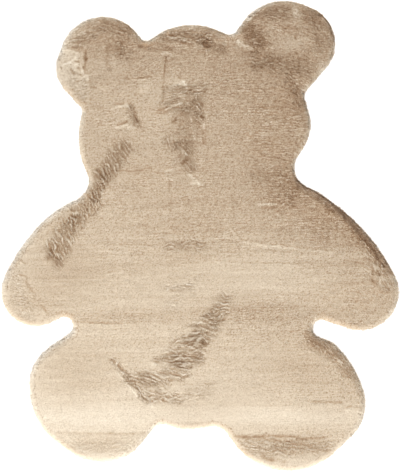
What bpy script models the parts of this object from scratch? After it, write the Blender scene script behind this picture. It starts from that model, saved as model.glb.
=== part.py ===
"""Bear shaped kids rug: a short dense plush, cut to the outline of a bear, on a thin felt backing.

The rug lies flat on the floor with its head towards +Y and its right side towards +X. The origin
is on the floor, under the middle of the rug. Two solids are made:

- plush_pile_cloth: the plush as far as its pile reaches. Its rim is rounded, and its top is softly
  uneven, with a trough where the pile was brushed the other way or pressed into a crease.
- felt_backing: the flat felt under the plush, cut just inside the pile's reach.

The outline is a belt that runs round a row of circles, pulled tight: an arc on each circle, and a
straight line that touches both from each circle to the next.
"""

import math
from typing import NamedTuple

import bmesh
import bpy
from mathutils import Vector
from mathutils.geometry import delaunay_2d_cdt

MM = 0.001

# Driving dimensions, in metres
BACKING_THICKNESS = 0.0020
PLY_GAP = 0.0003             # air between the two solids
PILE_DEPTH = 0.0150          # from the plush's underside to its top
BACKING_INSET = 0.0010       # how far inside the pile's reach the felt is cut
RIM_WIDTH = 0.0130           # how far in the rounded rim reaches the full depth
RIM_UNDERCUT = 0.0020        # how far the pile leans out past the plush's own cut edge
RIM_WIDEST = 0.30            # where the rim reaches furthest, as a share of the pile's depth

# How finely the curved surfaces are cut into facets
ARC_CHORD = 0.014            # longest piece of an arc
ARC_STEP = math.radians(15)  # largest turn between two pieces of an arc
RIM_STEPS = 4                # rings from the widest line up to the full depth
TOP_SPACING = 0.020          # between the points of the top surface
TOP_CLEARANCE = 0.60         # nearest such point to the rim, as a share of the spacing
NEAREST_POINTS = 1e-6        # points closer than this would be joined
PLUSH_CREASE = math.radians(50)
FELT_CREASE = math.radians(30)

# The broad, shallow waves of the top surface
WAVE_HEIGHT = 0.0005
WAVE_LENGTHS = (0.230, 0.310)
WAVE_TURNS = (0.9, 2.1)


class Circle(NamedTuple):
    """One circle that the outline runs round, in millimetres.

    side is +1 for a lobe, which has the cloth inside the circle, and -1 for a dip between two
    lobes, where the circle bites into the cloth.
    """

    name: str
    x: float
    y: float
    radius: float
    side: int


OUTLINE = (
    Circle("crown", -18, 314, 136, +1),
    Circle("left_ear_dip", -115, 432, 16, -1),
    Circle("left_ear_top", -207, 376, 91, +1),
    Circle("left_ear_side", -238, 359, 69, +1),
    Circle("left_cheek_dip", -268, 265, 17, -1),
    Circle("left_cheek", -98, 209, 160, +1),
    Circle("left_neck", -282, 117, 45, -1),
    Circle("left_shoulder", -179, -135, 227, +1),
    Circle("left_arm", -103, -221, 340, +1),
    Circle("left_hand", -350, -119, 73, +1),
    Circle("left_hip", -290, -193, 20, -1),
    Circle("left_knee", -271, -315, 92, +1),
    Circle("left_foot", -222, -326, 141, +1),
    Circle("left_toe", -210, -374, 109, +1),
    Circle("left_crotch", -80, -430, 28, -1),
    Circle("belly", -25, -300, 112, +1),
    Circle("right_crotch", 28, -444, 38, -1),
    Circle("right_toe", 188, -359, 142, +1),
    Circle("right_foot", 252, -357, 100, +1),
    Circle("right_knee", 155, -384, 200, +1),
    Circle("right_thigh", 250, -279, 60, +1),
    Circle("right_hip", 260, -198, 20, -1),
    Circle("right_hand", 341, -119, 82, +1),
    Circle("right_arm", 40, -270, 418, +1),
    Circle("right_shoulder", 162, -65, 181, +1),
    Circle("right_neck", 247, 146, 46, -1),
    Circle("right_cheek", 145, 239, 90, +1),
    Circle("right_cheek_dip", 241, 299, 19, -1),
    Circle("right_ear_side", 208, 411, 80, +1),
    Circle("right_ear_top", 180, 396, 105, +1),
    Circle("right_ear_dip", 63, 451, 22, -1),
)


class Trough(NamedTuple):
    """A soft trough in the top, from one end to the other, in millimetres."""

    name: str
    x0: float
    y0: float
    x1: float
    y1: float
    width: float
    depth: float


TROUGHS = (
    Trough("left_shoulder_upper", -193, 167, -246, 64, 22, 1.8),
    Trough("left_shoulder_lower", -246, 64, -331, -57, 24, 2.0),
    Trough("belly_upper", 74, -134, -10, -215, 20, 1.8),
    Trough("belly_lower", -22, -234, -107, -330, 34, 2.4),
    Trough("belly_side", -188, -262, -107, -356, 16, 2.0),
    Trough("brow", -75, 295, 20, 295, 18, 1.4),
    Trough("muzzle", -86, 165, 10, 165, 26, 1.2),
    Trough("left_ear", -257, 417, -235, 342, 16, 1.8),
    Trough("right_ear", 102, 455, 132, 400, 16, 1.6),
    Trough("left_cheek_crease", -235, 272, -154, 272, 14, 1.2),
    Trough("left_hand_upper", -381, -36, -361, -117, 16, 1.6),
    Trough("left_hand_lower", -361, -117, -321, -177, 16, 1.6),
    Trough("right_hand", 370, -75, 392, -100, 18, 1.4),
    Trough("left_foot_crease", -304, -422, -118, -422, 14, 1.6),
    Trough("right_foot_crease", 74, -422, 298, -422, 14, 1.8),
)

PLUSH_UNDERSIDE = BACKING_THICKNESS + PLY_GAP
PLUSH_TOP = PLUSH_UNDERSIDE + PILE_DEPTH

# name: base colour, roughness, sheen
FINISHES = {
    "plush_pile_cloth": ((0.700, 0.560, 0.410, 1.0), 0.95, 0.30),
    "felt_backing": ((0.320, 0.300, 0.250, 1.0), 0.90, 0.00),
}


def clear_scene():
    """Remove whatever objects the scene starts with."""
    for leftover in list(bpy.data.objects):
        bpy.data.objects.remove(leftover, do_unlink=True)


def heading_between(first, second):
    """Direction of the straight run that leaves one circle and meets the next.

    Going round the outline with the cloth on the left, a lobe has its centre on the left of the
    run, a radius away, and a dip has it on the right. So the line from centre to centre differs
    from the run by the angle whose sine is the change of signed radius over its length.
    """
    across = Vector((second.x - first.x, second.y - first.y))
    change = second.side * second.radius - first.side * first.radius
    return math.atan2(across.y, across.x) - math.asin(change / across.length)


def outline_points(circles):
    """Points of the outline, anticlockwise, each with the direction that leads into the cloth."""
    points = []
    for number, circle in enumerate(circles):
        start = heading_between(circles[number - 1], circle)
        end = heading_between(circle, circles[(number + 1) % len(circles)])
        turn = circle.side * ((circle.side * (end - start)) % math.tau)
        arc = abs(turn) * circle.radius * MM
        steps = math.ceil(max(arc / ARC_CHORD, abs(turn) / ARC_STEP))
        centre = Vector((circle.x, circle.y)) * MM
        for step in range(steps + 1):
            heading = start + turn * step / steps
            inward = Vector((-math.sin(heading), math.cos(heading)))
            points.append((centre - inward * circle.side * circle.radius * MM, inward))
    return points


def ring_at(points, inset):
    """The outline moved into the cloth by a distance."""
    return [place + inward * inset for place, inward in points]


def distance_to_segment(place, start, end):
    """Distance from a place to the nearest point of a straight line between two ends."""
    along = end - start
    share = (place - start).dot(along) / along.length_squared
    nearest = start + along * min(1.0, max(0.0, share))
    return (place - nearest).length


def top_height(place):
    """Height of the plush: its full depth, less the troughs, on two crossing waves."""
    sink = 0.0
    for trough in TROUGHS:
        start = Vector((trough.x0, trough.y0)) * MM
        end = Vector((trough.x1, trough.y1)) * MM
        away = distance_to_segment(place, start, end) / (trough.width * MM)
        sink = max(sink, trough.depth * MM * math.exp(-away * away))
    waves = sum(
        math.sin(math.tau * (place.x * math.cos(turn) + place.y * math.sin(turn)) / length)
        for length, turn in zip(WAVE_LENGTHS, WAVE_TURNS)
    )
    return PLUSH_TOP - sink + WAVE_HEIGHT * waves


def rim_sections():
    """Inset and share of the full height of each ring of the rim, from the underside up.

    Above its widest line the rim is a quarter of an ellipse.
    """
    yield RIM_UNDERCUT, 0.0
    for step in range(RIM_STEPS + 1):
        angle = math.pi / 2 * step / RIM_STEPS
        yield RIM_WIDTH * (1 - math.cos(angle)), RIM_WIDEST + (1 - RIM_WIDEST) * math.sin(angle)


def points_inside(ring, spacing, clearance):
    """Points of a triangular grid that lie inside a ring, at least a clearance from it."""
    inside = []
    row_height = spacing * math.sqrt(3) / 2
    left, right = min(p.x for p in ring), max(p.x for p in ring)
    bottom, top = min(p.y for p in ring), max(p.y for p in ring)
    edges = list(zip(ring, ring[1:] + ring[:1]))
    for row in range(int((top - bottom) / row_height) + 1):
        for column in range(int((right - left) / spacing) + 1):
            place = Vector((left + spacing * (column + row % 2 / 2), bottom + row_height * row))
            crossings = sum(
                (a.y > place.y) != (b.y > place.y)
                and place.x < a.x + (b.x - a.x) * (place.y - a.y) / (b.y - a.y)
                for a, b in edges
            )
            if crossings % 2 and min(distance_to_segment(place, a, b) for a, b in edges) > clearance:
                inside.append(place)
    return inside


def add_ring(mesh, ring, heights):
    """Add a ring's points to the mesh."""
    return [mesh.verts.new((place.x, place.y, z)) for place, z in zip(ring, heights)]


def bridge(mesh, lower, upper):
    """Join two rings of equal length with faces that look outwards."""
    count = len(lower)
    for i in range(count):
        after = (i + 1) % count
        mesh.faces.new((lower[i], lower[after], upper[after], upper[i]))


def plush_mesh(outline):
    """The plush: flat underside, rounded rim, and a top of triangles at their own heights."""
    mesh = bmesh.new()
    rings = []
    for inset, share in rim_sections():
        ring = ring_at(outline, inset)
        full = [top_height(place) - PLUSH_UNDERSIDE for place in ring]
        rings.append(add_ring(mesh, ring, [PLUSH_UNDERSIDE + share * height for height in full]))
    mesh.faces.new(reversed(rings[0]))
    for lower, upper in zip(rings, rings[1:]):
        bridge(mesh, lower, upper)

    border = ring_at(outline, RIM_WIDTH)
    inner = points_inside(border, TOP_SPACING, TOP_SPACING * TOP_CLEARANCE)
    places = border + inner
    loop = list(range(len(border)))
    inside_only = 1
    found, _, triangles, *_ = delaunay_2d_cdt(places, [], [loop], inside_only, NEAREST_POINTS)
    if len(found) != len(places):
        raise ValueError("two points of the plush's top fall together")
    top = rings[-1] + add_ring(mesh, inner, [top_height(place) for place in inner])
    for triangle in triangles:
        mesh.faces.new([top[i] for i in triangle])
    return mesh


def backing_mesh(outline):
    """The felt: the outline, cut a little smaller, at one thickness."""
    mesh = bmesh.new()
    ring = ring_at(outline, BACKING_INSET)
    lower = add_ring(mesh, ring, [0.0] * len(ring))
    upper = add_ring(mesh, ring, [BACKING_THICKNESS] * len(ring))
    mesh.faces.new(reversed(lower))
    mesh.faces.new(upper)
    bridge(mesh, lower, upper)
    return mesh


def make_material(name):
    """A Principled BSDF in the piece's own colour."""
    colour, roughness, sheen = FINISHES[name]
    material = bpy.data.materials.new(name)
    material.use_nodes = True
    shader = material.node_tree.nodes["Principled BSDF"]
    shader.inputs["Base Color"].default_value = colour
    shader.inputs["Roughness"].default_value = roughness
    shader.inputs["Metallic"].default_value = 0.0
    shader.inputs["Sheen Weight"].default_value = sheen
    return material


def make_object(name, mesh, sharp_from):
    """Turn a finished bmesh into an object, smooth but for edges sharper than an angle."""
    bmesh.ops.recalc_face_normals(mesh, faces=mesh.faces[:])
    data = bpy.data.meshes.new(name)
    mesh.to_mesh(data)
    mesh.free()
    data.shade_smooth()
    data.set_sharp_from_angle(angle=sharp_from)
    data.materials.append(make_material(name))
    piece = bpy.data.objects.new(name, data)
    bpy.context.collection.objects.link(piece)
    return piece


def main():
    clear_scene()
    outline = outline_points(OUTLINE)
    make_object("plush_pile_cloth", plush_mesh(outline), PLUSH_CREASE)
    make_object("felt_backing", backing_mesh(outline), FELT_CREASE)


main()
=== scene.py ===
# %% [markdown]
# # A bear shaped plush rug
#
# The real rug is one piece of short, dense plush on a thin felt, cut to the outline of a bear and
# laid on the floor. Everything that makes it look like plush is in how its hairs lie: they lean
# over, mostly towards the feet, they stand up or swirl where a hand brushed them the other way,
# and they bunch into small locks with a dark hollow between one lock and the next.
#
# There are three ways to make such a pile. A bump on a flat sheet is light, but its edge stays as
# sharp as cardboard. Particle hair looks right, but it is lost when the model is exported. This
# script makes the pile as real leaves of mesh, worked out as whole numpy arrays, over a soft
# ground that closes the gaps between them. That keeps the furry edge from every side.

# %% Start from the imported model
import math
from typing import NamedTuple

import bpy
import numpy as np
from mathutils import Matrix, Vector
from mathutils.geometry import delaunay_2d_cdt


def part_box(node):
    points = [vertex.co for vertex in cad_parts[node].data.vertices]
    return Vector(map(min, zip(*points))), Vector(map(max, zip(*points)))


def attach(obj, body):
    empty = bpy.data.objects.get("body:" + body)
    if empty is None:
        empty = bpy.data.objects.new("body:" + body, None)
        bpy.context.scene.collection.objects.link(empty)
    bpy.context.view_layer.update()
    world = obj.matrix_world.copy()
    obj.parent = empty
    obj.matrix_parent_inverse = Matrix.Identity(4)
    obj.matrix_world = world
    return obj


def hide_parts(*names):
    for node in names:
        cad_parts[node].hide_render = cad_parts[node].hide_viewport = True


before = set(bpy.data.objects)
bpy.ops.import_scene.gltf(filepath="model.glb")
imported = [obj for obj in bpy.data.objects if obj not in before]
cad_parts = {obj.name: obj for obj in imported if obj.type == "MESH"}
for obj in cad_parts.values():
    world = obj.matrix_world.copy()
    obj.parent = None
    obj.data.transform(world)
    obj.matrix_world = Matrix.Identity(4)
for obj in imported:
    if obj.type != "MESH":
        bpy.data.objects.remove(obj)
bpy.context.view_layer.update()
rng = np.random.default_rng(5)
MM = 0.001

# %% [markdown]
# ## The outline
#
# A cutter's pattern for a bear is all round lobes and round dips. It could be drawn as a long list
# of points or as a spline, but a belt pulled tight round a row of circles says it in fewer
# numbers: an arc on each circle and a straight run from each circle to the next, touching both.
# Another gain comes with it. The distance from any place to such a belt is exact and quick to work
# out, and the pile needs that distance to know how near to the edge it grows.


# %% The circles that the outline runs round
class Circle(NamedTuple):
    """A circle in millimetres. side is +1 for a lobe of cloth and -1 for a dip between lobes."""

    name: str
    x: float
    y: float
    radius: float
    side: int


OUTLINE = (
    Circle("crown", -18, 314, 136, +1),
    Circle("left_ear_dip", -115, 432, 16, -1),
    Circle("left_ear_top", -207, 376, 91, +1),
    Circle("left_ear_side", -238, 359, 69, +1),
    Circle("left_cheek_dip", -268, 265, 17, -1),
    Circle("left_cheek", -98, 209, 160, +1),
    Circle("left_neck", -282, 117, 45, -1),
    Circle("left_shoulder", -179, -135, 227, +1),
    Circle("left_arm", -103, -221, 340, +1),
    Circle("left_hand", -350, -119, 73, +1),
    Circle("left_hip", -290, -193, 20, -1),
    Circle("left_knee", -271, -315, 92, +1),
    Circle("left_foot", -222, -326, 141, +1),
    Circle("left_toe", -210, -374, 109, +1),
    Circle("left_crotch", -80, -430, 28, -1),
    Circle("belly", -25, -300, 112, +1),
    Circle("right_crotch", 28, -444, 38, -1),
    Circle("right_toe", 188, -359, 142, +1),
    Circle("right_foot", 252, -357, 100, +1),
    Circle("right_knee", 155, -384, 200, +1),
    Circle("right_thigh", 250, -279, 60, +1),
    Circle("right_hip", 260, -198, 20, -1),
    Circle("right_hand", 341, -119, 82, +1),
    Circle("right_arm", 40, -270, 418, +1),
    Circle("right_shoulder", 162, -65, 181, +1),
    Circle("right_neck", 247, 146, 46, -1),
    Circle("right_cheek", 145, 239, 90, +1),
    Circle("right_cheek_dip", 241, 299, 19, -1),
    Circle("right_ear_side", 208, 411, 80, +1),
    Circle("right_ear_top", 180, 396, 105, +1),
    Circle("right_ear_dip", 63, 451, 22, -1),
)


# %% The belt: an arc on each circle, and a straight run to the next
def heading_between(first, second):
    """Direction of the run that leaves one circle and meets the next, with the cloth on its left.

    It differs from the line between the centres by the angle whose sine is the change of signed
    radius over the distance.
    """
    dx, dy = second.x - first.x, second.y - first.y
    change = second.side * second.radius - first.side * first.radius
    return math.atan2(dy, dx) - math.asin(change / math.hypot(dx, dy))


def belt_links(circles):
    """For each circle: the circle, the headings at the start and the end of its arc, and the turn."""
    links = []
    for number, circle in enumerate(circles):
        start = heading_between(circles[number - 1], circle)
        end = heading_between(circle, circles[(number + 1) % len(circles)])
        turn = circle.side * ((circle.side * (end - start)) % math.tau)
        links.append((circle, start, end, turn))
    return links


def on_circle(circle, heading):
    """The place on a circle where the outline has this heading, and the direction out of the cloth."""
    out = np.stack([np.sin(heading), -np.cos(heading)], -1)
    centre = np.array([circle.x, circle.y])
    return (centre + out * circle.side * circle.radius) * MM, out


BELT = belt_links(OUTLINE)


def edge_of(x, y):
    """Distance in from the outline, negative outside it, and the outward direction there.

    On an arc the distance is the radius less the distance from the centre, and on a run it is the
    height above the line. Each counts only where the place lies opposite to it, and the nearest
    one wins.
    """
    inset = np.full(x.shape, np.inf)
    out = np.zeros(x.shape + (2,))

    def offer(allowed, distance, out_x, out_y):
        closer = allowed & (np.abs(distance) < np.abs(inset))
        inset[closer] = distance[closer]
        out[closer, 0] = np.broadcast_to(out_x, x.shape)[closer]
        out[closer, 1] = np.broadcast_to(out_y, x.shape)[closer]

    for number, (circle, start, end, turn) in enumerate(BELT):
        dx, dy = x - circle.x * MM, y - circle.y * MM
        reach = np.maximum(np.hypot(dx, dy), 1e-9)
        first = start - circle.side * math.pi / 2
        swept = (circle.side * (np.arctan2(dy, dx) - first)) % math.tau
        offer(
            swept <= abs(turn),
            circle.side * (circle.radius * MM - reach),
            circle.side * dx / reach,
            circle.side * dy / reach,
        )
        after = BELT[(number + 1) % len(BELT)][0]
        begin, finish = on_circle(circle, end)[0], on_circle(after, end)[0]
        hx, hy = math.cos(end), math.sin(end)
        along = (x - begin[0]) * hx + (y - begin[1]) * hy
        above = (y - begin[1]) * hx - (x - begin[0]) * hy
        length = math.hypot(*(finish - begin))
        offer((along >= 0) & (along <= length), above, hy, -hx)
    return inset, out


def walk_round(step):
    """Places along the outline about a step apart, with the outward direction at each."""
    places, outs = [], []
    for number, (circle, start, end, turn) in enumerate(BELT):
        count = max(2, math.ceil(abs(turn) * circle.radius * MM / step))
        headings = start + turn * np.arange(count + 1) / count
        on_arc, out = on_circle(circle, headings)
        places.append(on_arc)
        outs.append(out)
        after = BELT[(number + 1) % len(BELT)][0]
        target = on_circle(after, end)[0]
        steps = max(1, math.ceil(math.hypot(*(target - on_arc[-1])) / step))
        shares = np.arange(1, steps)[:, None] / steps
        places.append(on_arc[-1] + (target - on_arc[-1]) * shares)
        outs.append(np.broadcast_to(out[-1], (len(shares), 2)))
    return np.concatenate(places), np.concatenate(outs)


outline, _ = walk_round(2 * MM)
ahead = np.roll(outline, -1, 0)
CUT_AREA = float(np.sum(outline[:, 0] * ahead[:, 1] - ahead[:, 0] * outline[:, 1]) / 2)
PERIMETER = float(np.sum(np.hypot(*(ahead - outline).T)))
print(f"outline: {PERIMETER:.3f} m round, {CUT_AREA:.4f} square metres")

# %% [markdown]
# ## Randomness that stays put
#
# Pile is never even, so nearly everything below is disturbed a little. Blender's noise textures
# can't be read by numpy, so here are two small ones of our own: a smooth mottle, and a scatter of
# seeds, one to a cell, that says which lock each hair belongs to. Both look up a table that is
# drawn once from a seeded generator, so that every run gives the same rug.

# %% Mottle and scattered seeds
TABLE = 256
dice = rng.random((8, TABLE, TABLE))


def turned(x, y, angle):
    """The same places read in axes that are turned by an angle."""
    return x * math.cos(angle) + y * math.sin(angle), y * math.cos(angle) - x * math.sin(angle)


def mottle(x, y, across, along, layer, angle=0.0):
    """Smooth random values from -1 to 1, blended between the corners of cells of a given size."""
    u, v = turned(x, y, angle)
    u, v = u / across, v / along
    i, j = np.floor(u).astype(int), np.floor(v).astype(int)
    fu, fv = u - i, v - j
    fu, fv = fu * fu * (3 - 2 * fu), fv * fv * (3 - 2 * fv)
    table = dice[layer]
    i, j = i % TABLE, j % TABLE
    i2, j2 = (i + 1) % TABLE, (j + 1) % TABLE
    low = table[i, j] * (1 - fu) + table[i2, j] * fu
    high = table[i, j2] * (1 - fu) + table[i2, j2] * fu
    return 2 * (low * (1 - fv) + high * fv) - 1


def seed_of(x, y, across, along, angle=0.0):
    """The nearest scattered seed of each place: where it lies, and its numbers in the table."""
    u, v = turned(x, y, angle)
    u, v = u / across, v / along
    i0, j0 = np.floor(u).astype(int), np.floor(v).astype(int)
    nearest = np.full(x.shape, np.inf)
    found = [np.zeros(x.shape), np.zeros(x.shape), np.zeros(x.shape, int), np.zeros(x.shape, int)]
    for di in (-1, 0, 1):
        for dj in (-1, 0, 1):
            i, j = i0 + di, j0 + dj
            row, column = i % TABLE, j % TABLE
            su, sv = i + dice[0][row, column], j + dice[1][row, column]
            distance = (u - su) ** 2 + (v - sv) ** 2
            closer = distance < nearest
            nearest[closer] = distance[closer]
            for kept, value in zip(found, (su, sv, row, column)):
                kept[closer] = value[closer]
    sx, sy = turned(found[0] * across, found[1] * along, -angle)
    return sx, sy, found[2], found[3]


# %% [markdown]
# ## Ruffles
#
# Where plush is pushed together, it stands in ruffles: a thin lit rim, a dark hollow close behind
# it, and a slow climb to the next rim. Smooth plush has the same in small. A sine wave would give
# even stripes, and plain noise gives blots without rims. So a ruffle is made as a contour map is:
# a rim runs wherever a disturbed height is a whole number, and it wanders, splits and ends by
# itself.


# %% Ruffles of one kind, and of several on top of each other
# a ruffle's height raises the tips, and the same height is painted into the tone as a highlight on each
# rim and shade in each hollow
RIM_HALF = 0.15     # half width of a rim, as a share of the spacing
HOLLOW_AT = 0.32    # how far behind its rim the hollow lies
HOLLOW_HALF = 0.15
SWELL_MEAN = 0.8    # how high the rims are on the whole, before they swell and die out
SWELL = 0.8
SWELL_MOST = 1.4


class Ruffles(NamedTuple):
    """One kind of ruffles. Its spacing and length are in a unit that is given where it is used."""

    weight: float
    spacing: float
    length: float
    layer: int
    turn: float
    wander: float
    fray: float
    rim_height: float


def ruffle(x, y, kind, unit, angle):
    """Height of one kind of ruffles, from about -1 in a hollow to rim_height on a rim.

    They run along the angle and their own turn. The phase is the distance across them over the
    spacing, pushed to and fro by two mottles, one as strong as wander and a finer one as strong as
    fray. Its fraction says how far behind a rim a place lies, on the side away from the light. The
    rim is one bell, exp of minus the square, and the hollow is another, which is taken away. A
    third mottle lets each rim swell and die out.
    """
    angle = angle + kind.turn
    spacing, length, layer = kind.spacing * unit, kind.length * unit, kind.layer
    _, across = turned(x, y, angle)
    phase = across / spacing + kind.wander * mottle(x, y, length, 2.0 * spacing, layer, angle)
    phase = phase + kind.fray * mottle(x, y, 0.35 * length, spacing, layer + 1, angle)
    behind = phase % 1
    rim = np.minimum(behind, 1 - behind) / RIM_HALF
    hollow = (behind - HOLLOW_AT) / HOLLOW_HALF
    swell = SWELL_MEAN + SWELL * mottle(x, y, 0.6 * length, 1.1 * spacing, layer - 1, angle)
    height = kind.rim_height * np.exp(-rim * rim) - np.exp(-hollow * hollow)
    return np.clip(swell, 0, SWELL_MOST) * height


def ruffled(x, y, kinds, unit, angle):
    """Sum over several kinds of weight times height."""
    return sum(kind.weight * ruffle(x, y, kind, unit, angle) for kind in kinds)


# %% [markdown]
# ## How the pile was brushed
#
# Plush shows each touch. On this rug the pile leans towards the feet and a little to the left, so
# the edges at the bottom are bright with hair tips and those at the top right show dark roots.
# On that lie the marks: a streak down the left shoulder, a swirl across the belly, patches on the
# head and the ears. One table holds them all. Each is a soft stroke from one end to the other, and
# says which way its ruffles run and how wide they are, how far it lifts and roughens the pile and
# what it does to the tone, which is painted shade where the lifted pile shows its roots and painted
# light where it is lighter. A painted mask would do as well, but a table can be read and changed.


# %% The brush marks
class Mark(NamedTuple):
    """A brush mark, in millimetres and degrees. rough and tone are shares, from -1 to 1. A tone below 0
    is painted shade, and one above 0 painted light.
    """

    name: str
    x0: float
    y0: float
    x1: float
    y1: float
    width: float
    ruffles_run: float
    spacing: float
    lift: float
    rough: float
    tone: float


MARKS = (
    # the streak down the left shoulder
    Mark("shoulder_top", -163, 184, -197, 137, 21, -52, 15, 9, 0.75, -0.1),
    Mark("shoulder_neck", -208, 131, -223, 84, 14, -55, 15, 9, 0.8, -0.12),
    Mark("shoulder_mid", -226, 75, -268, 30, 20, -58, 15, 9, 0.85, -0.09),
    Mark("shoulder_low", -277, 24, -301, -27, 24, -62, 15, 9, 0.85, -0.08),
    Mark("shoulder_tail", -318, -36, -300, -57, 11, -50, 12, 10, 0.5, -0.1),
    # the swirl across the belly
    Mark("belly_tip", 55, -140, 29, -177, 17, -8, 14, 12, 0.7, -0.03),
    Mark("belly_up", 23, -183, -7, -215, 23, -5, 15, 13, 0.8, -0.05),
    Mark("belly_mid", -3, -222, -39, -249, 28, 8, 14, 13, 0.85, -0.05),
    Mark("belly_cross", -86, -266, -1, -262, 13, -4, 13, 13, 0.8, -0.05),
    Mark("belly_low", -39, -288, -107, -309, 21, -12, 14, 12, 0.85, -0.05),
    Mark("belly_left", -107, -305, -150, -305, 15, -6, 12, 11, 0.7, -0.06),
    Mark("belly_corner", -118, -339, -48, -348, 14, -10, 13, 11, 0.8, -0.05),
    Mark("belly_edge", -184, -266, -112, -352, 7, -48, 11, 11, 0.7, -0.06),
    Mark("belly_fleck", -26, -339, 17, -322, 17, 0, 11, 6, 0.4, -0.02),
    # the middle of the body
    Mark("middle_upper", -65, -21, 4, -19, 13, 2, 12, 8, 0.6, -0.02),
    Mark("middle_lower", -67, -111, -22, -108, 9, 6, 12, 10, 0.8, 0.02),
    Mark("middle_waist", -9, -104, -65, -149, 15, 0, 13, 4, 0.2, 0.01),
    # the head
    Mark("crown", -73, 425, 12, 421, 16, -4, 13, 10, 0.7, -0.1),
    Mark("crown_left", -129, 402, -60, 398, 7, 0, 11, 7, 0.4, -0.06),
    Mark("crown_right", 8, 408, 46, 395, 13, -25, 12, 8, 0.6, -0.1),
    Mark("ear_left_root", -169, 410, -171, 380, 11, 0, 7, 4, 0.5, -0.05),
    Mark("ear_left_near", -195, 404, -193, 353, 7, -10, 8, 3, 0.4, -0.04),
    Mark("brow", -71, 310, 4, 308, 15, 12, 14, 11, 0.8, -0.03),
    Mark("brow_low", -75, 287, -18, 272, 15, 14, 14, 10, 0.6, -0.02),
    Mark("strip", -30, 263, -30, 199, 28, -10, 9, 5, 0.35, -0.08),
    Mark("temple_right", -3, 289, -1, 250, 11, -65, 12, 10, 0.7, -0.06),
    Mark("muzzle", -35, 188, -22, 148, 17, -50, 13, 10, 0.6, -0.05),
    Mark("muzzle_left", -69, 203, -60, 182, 11, -70, 11, 6, 0.4, -0.03),
    Mark("cheek_left", -148, 274, -133, 237, 8, -62, 11, 10, 0.5, -0.08),
    Mark("cheek_right", 123, 361, 200, 353, 15, -4, 11, 7, 0.5, -0.03),
    Mark("cheek_right_edge", 187, 336, 215, 276, 13, -38, 12, 8, 0.6, -0.1),
    # the left ear
    Mark("ear_left_shade", -265, 410, -225, 430, 14, 15, 12, 10, 0.5, -0.01),
    Mark("ear_left_top", -205, 449, -156, 436, 14, -15, 12, 10, 0.7, -0.06),
    Mark("ear_left_inner", -176, 400, -156, 383, 13, 0, 11, 7, 0.5, -0.05),
    Mark("ear_left_outer", -293, 370, -274, 344, 16, 24, 8, 8, 0.35, 0.02),
    Mark("ear_left_low", -295, 331, -261, 295, 16, -38, 8, 8, 0.35, 0.02),
    Mark("ear_left_fringe", -244, 327, -246, 295, 10, 4, 7, 4, 0.5, 0.05),
    Mark("ear_left_foot", -270, 331, -240, 306, 17, 18, 14, 7, 0.5, 0.04),
    # the right ear
    Mark("ear_right_dashes", 100, 442, 123, 408, 20, -12, 7, 6, 0.6, -0.27),
    Mark("ear_right_top", 119, 477, 239, 470, 17, -15, 13, 11, 0.4, -0.1),
    Mark("ear_right_side", 247, 455, 258, 404, 17, -60, 13, 8, 0.35, -0.05),
    Mark("ear_right_low", 110, 378, 239, 355, 17, -20, 12, 6, 0.35, -0.06),
    Mark("ear_right_tuft", 202, 479, 207, 462, 10, 10, 13, 0, 0.3, 0.16),
    # the right side
    Mark("neck_right", 123, 135, 192, 97, 26, -3, 12, 5, 0.35, -0.02),
    Mark("shoulder_right", 209, 111, 309, 45, 11, -36, 9, 6, 0.7, -0.2),
    Mark("arm_right", 309, 45, 399, -57, 12, -45, 9, 6, 0.7, -0.24),
    Mark("hand_right_band", 345, -10, 394, -66, 16, -40, 9, 6, 0.7, -0.1),
    Mark("hand_right", 377, -66, 397, -104, 15, -60, 13, 10, 0.7, 0.02),
    Mark("thigh_right", 242, -215, 335, -300, 16, -45, 10, 7, 0.6, -0.11),
    # the hands and the feet
    Mark("hand_left", -405, -74, -365, -165, 19, -12, 8, 6, 0.45, 0.01),
    Mark("sole_right", 98, -450, 268, -450, 19, 0, 13, 8, 0.5, -0.04),
    Mark("sole_left", -274, -450, -133, -450, 17, 0, 13, 5, 0.3, -0.01),
)


# %% How far a place is from a stroke
def distance_to_line(x, y, stroke):
    """Distance from each place to the nearest point of a stroke, in metres."""
    x0, y0, x1, y1 = (v * MM for v in (stroke.x0, stroke.y0, stroke.x1, stroke.y1))
    along_x, along_y = x1 - x0, y1 - y0
    share = ((x - x0) * along_x + (y - y0) * along_y) / (along_x**2 + along_y**2)
    share = np.clip(share, 0, 1)
    return np.hypot(x - x0 - share * along_x, y - y0 - share * along_y)


def close_to(x, y, stroke, widths):
    """Numbers of the places in a stroke's box, widened by so many of its widths."""
    reach = widths * stroke.width
    low_x, high_x = sorted((stroke.x0, stroke.x1))
    low_y, high_y = sorted((stroke.y0, stroke.y1))
    inside = (x > (low_x - reach) * MM) & (x < (high_x + reach) * MM)
    return np.flatnonzero(inside & (y > (low_y - reach) * MM) & (y < (high_y + reach) * MM))


BORDER_FRAY = 0.30  # of a mark's border, over a finger's breadth
BORDER_FRAY_FINE = 0.20
MARK_RUFFLES = (  # the unit is the mark's own spacing
    Ruffles(0.9, 0.70, 1.8, 2, 0.00, 0.8, 0.40, 1.8),
    Ruffles(0.8, 0.42, 1.1, 5, -0.15, 0.7, 0.35, 1.5),
)


def brushed(x, y):
    """Sums over the marks of lift, rough and tone, and the height of their ruffles.

    A mark's weight is exp of minus the fourth power of the distance over its width, so it is even
    inside and ends in a soft border, which two mottles fray.
    """
    sums = np.zeros((4, len(x)))
    for mark in MARKS:
        at = close_to(x, y, mark, 2.0)
        px, py = x[at], y[at]
        fray = BORDER_FRAY * mottle(px, py, 13 * MM, 9 * MM, 2)
        fray = fray + BORDER_FRAY_FINE * mottle(px, py, 6 * MM, 5 * MM, 4)
        away = np.maximum(distance_to_line(px, py, mark) / (mark.width * MM) + fray, 0)
        weight = np.exp(-(away**4))
        height = ruffled(px, py, MARK_RUFFLES, mark.spacing * MM, math.radians(mark.ruffles_run))
        # a mark's tone is painted shade where it is dark and painted light where it is light
        sums[:3, at] += weight * np.array([[mark.lift], [mark.rough], [mark.tone]])
        sums[3, at] += weight * mark.rough * height
    return sums


print("brush marks:", len(MARKS))


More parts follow.
